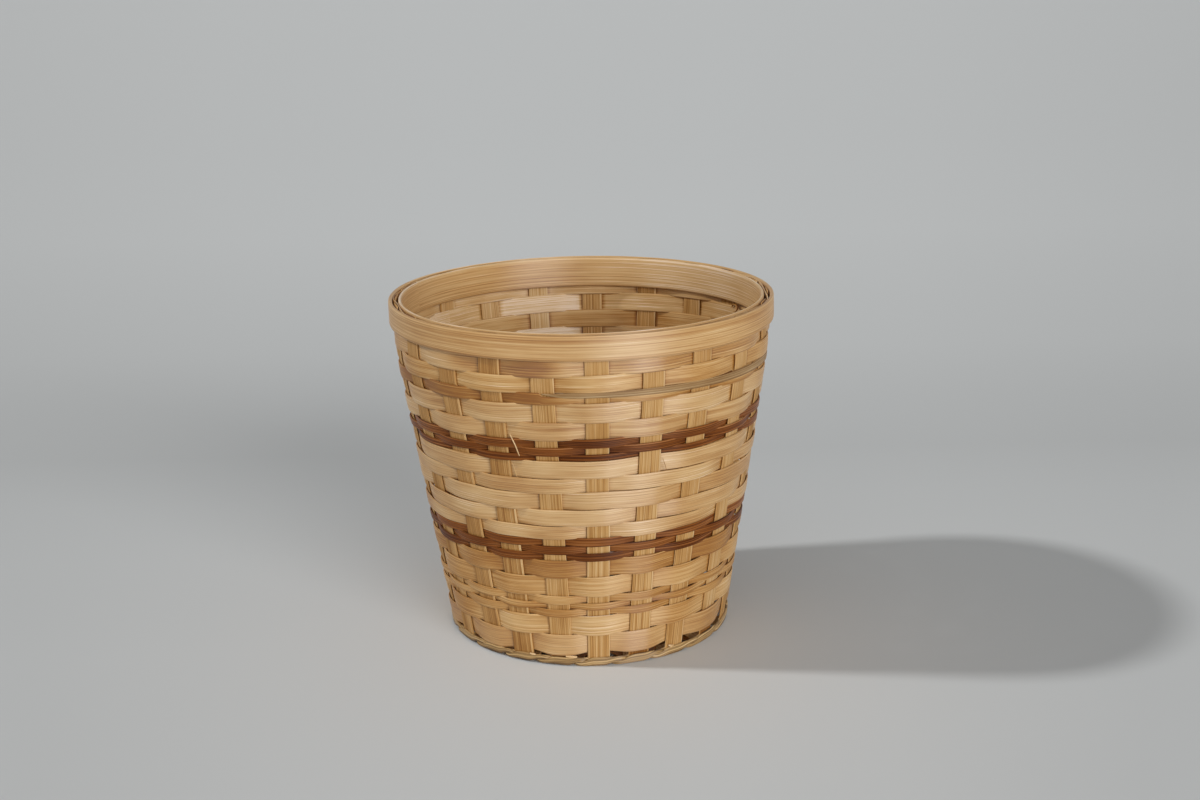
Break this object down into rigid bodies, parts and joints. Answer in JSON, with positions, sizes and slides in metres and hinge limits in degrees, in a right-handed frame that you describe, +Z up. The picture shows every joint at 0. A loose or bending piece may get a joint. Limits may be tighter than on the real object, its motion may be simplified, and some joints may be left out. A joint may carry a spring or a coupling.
{
  "type": "splint basket",
  "caption": "Round open basket that widens upwards, woven from flat wood splints over splint uprights, with bands of brown rows, a twilled middle and two bent hoops at the rim.",
  "frame": {"origin": "on the floor, under the middle of the basket", "axes": "+Z up through the mouth, -Y towards the side seen in front, +X to its right"},
  "size_m": [0.24, 0.24, 0.2133],
  "materials": {
    "rim_hoop": "smooth bent splint, light tan with fine grain along it",
    "wide_splint": "bare light tan splint with fine grain along it",
    "narrow_splint": "bare tan splint",
    "grey_splint": "greyish tan splint, a little rougher",
    "brown_splint": "dyed reddish brown splint with a low gloss",
    "upright_splint": "bare tan splint with ridges along it"
  },
  "bodies": {
    "root": {"base_weaver_1": "narrow_splint", "base_weaver_2": "narrow_splint", "base_weaver_3": "narrow_splint", "base_weaver_4": "narrow_splint", "base_weaver_5": "narrow_splint", "base_weaver_6": "narrow_splint", "base_weaver_7": "narrow_splint", "base_weaver_8": "narrow_splint", "brown_weaver_08": "brown_splint", "brown_weaver_09": "brown_splint", "brown_weaver_10": "brown_splint", "brown_weaver_16": "brown_splint", "brown_weaver_17": "brown_splint", "brown_weaver_18": "brown_splint", "foot_twining_1": "narrow_splint", "foot_twining_2": "narrow_splint", "grey_end_21": "grey_splint", "inner_rim_hoop": "rim_hoop", "long_splint_01": "upright_splint", "long_splint_02": "upright_splint", "long_splint_03": "upright_splint", "long_splint_04": "upright_splint", "long_splint_05": "upright_splint", "long_splint_06": "upright_splint", "long_splint_07": "upright_splint", "long_splint_08": "upright_splint", "long_splint_09": "upright_splint", "long_splint_10": "upright_splint", "long_splint_11": "upright_splint", "narrow_weaver_03": "narrow_splint", "narrow_weaver_04": "narrow_splint", "narrow_weaver_05": "narrow_splint", "narrow_weaver_21": "narrow_splint", "outer_rim_hoop": "rim_hoop", "rim_weaver_24": "wide_splint", "wide_weaver_01": "wide_splint", "wide_weaver_02": "wide_splint", "wide_weaver_06": "wide_splint", "wide_weaver_07": "wide_splint", "wide_weaver_11": "wide_splint", "wide_weaver_12": "wide_splint", "wide_weaver_13": "wide_splint", "wide_weaver_14": "wide_splint", "wide_weaver_15": "wide_splint", "wide_weaver_19": "wide_splint", "wide_weaver_20": "wide_splint", "wide_weaver_22": "wide_splint", "wide_weaver_23": "wide_splint"}
  },
  "joints": []
}
